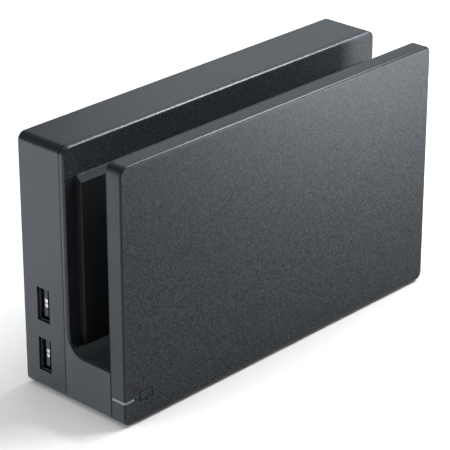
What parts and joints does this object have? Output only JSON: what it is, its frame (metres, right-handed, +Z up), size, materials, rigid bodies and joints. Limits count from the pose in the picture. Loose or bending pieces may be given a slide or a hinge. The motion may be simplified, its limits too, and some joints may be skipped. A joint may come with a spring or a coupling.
{
  "type": "handheld console dock",
  "caption": "Upright dock for a handheld console: an open slot between a thin front panel and a rear box with side sockets, a tilting plug and a hinged rear cover.",
  "frame": {"origin": "under the middle of the dock, on the surface it stands on", "axes": "+X to the right seen from the front, front panel towards -Y, +Z up"},
  "size_m": [0.173, 0.054, 0.104],
  "materials": {
    "panel_plastic": "fine spark-eroded grain, charcoal",
    "body_plastic": "smooth satin, charcoal",
    "socket_metal": "plated sheet",
    "socket_plastic": "moulded black",
    "board": "solder mask",
    "chip": "moulded package",
    "capacitor": "can with sleeve mark",
    "cable": "polyimide film",
    "lamp_plastic": "frosted clear",
    "rubber": "moulded",
    "screw_steel": "blackened"
  },
  "bodies": {
    "dock": {"front_panel": "panel_plastic", "rear_shell": "body_plastic", "cradle_frame": "body_plastic", "base_plate": "body_plastic", "side_port_upper_shell": "socket_metal", "side_port_lower_shell": "socket_metal", "bay_port_shell": "socket_metal", "video_port_shell": "socket_metal", "power_inlet_shell": "socket_metal", "board_shield": "socket_metal", "carrier_springs": "socket_metal", "side_port_upper_tongue": "socket_plastic", "side_port_lower_tongue": "socket_plastic", "bay_port_tongue": "socket_plastic", "video_port_tongue": "socket_plastic", "power_inlet_tongue": "socket_plastic", "ribbon_socket": "socket_plastic", "led_socket": "socket_plastic", "main_board": "board", "led_board": "board", "board_chips": "chip", "board_capacitors": "capacitor", "ribbon_cable": "cable", "led_cable": "cable", "light_pipe": "lamp_plastic", "led": "lamp_plastic", "foot_front_left": "rubber", "foot_front_right": "rubber", "foot_rear_left": "rubber", "foot_rear_right": "rubber", "housing_screws": "screw_steel", "board_screws": "screw_steel", "panel_screws": "screw_steel", "base_screws": "screw_steel"},
    "cover": {"back_cover": "body_plastic"},
    "plug": {"plug_carrier": "socket_plastic", "plug_shell": "socket_metal", "plug_core": "socket_plastic", "plug_board": "board", "plug_socket": "socket_plastic"}
  },
  "joints": [
    {"name": "cover_hinge", "type": "hinge", "parent": "dock", "child": "cover", "pos_m": [-0.0822, 0.0254, 0.052], "axis": [0, 0, 1], "range_deg": [0, 90]},
    {"name": "plug_tilt", "type": "hinge", "parent": "dock", "child": "plug", "pos_m": [0, -0.00925, 0.014], "axis": [1, 0, 0], "range_deg": [-3, 3], "stiffness_Nm_per_rad": 0.05}
  ]
}
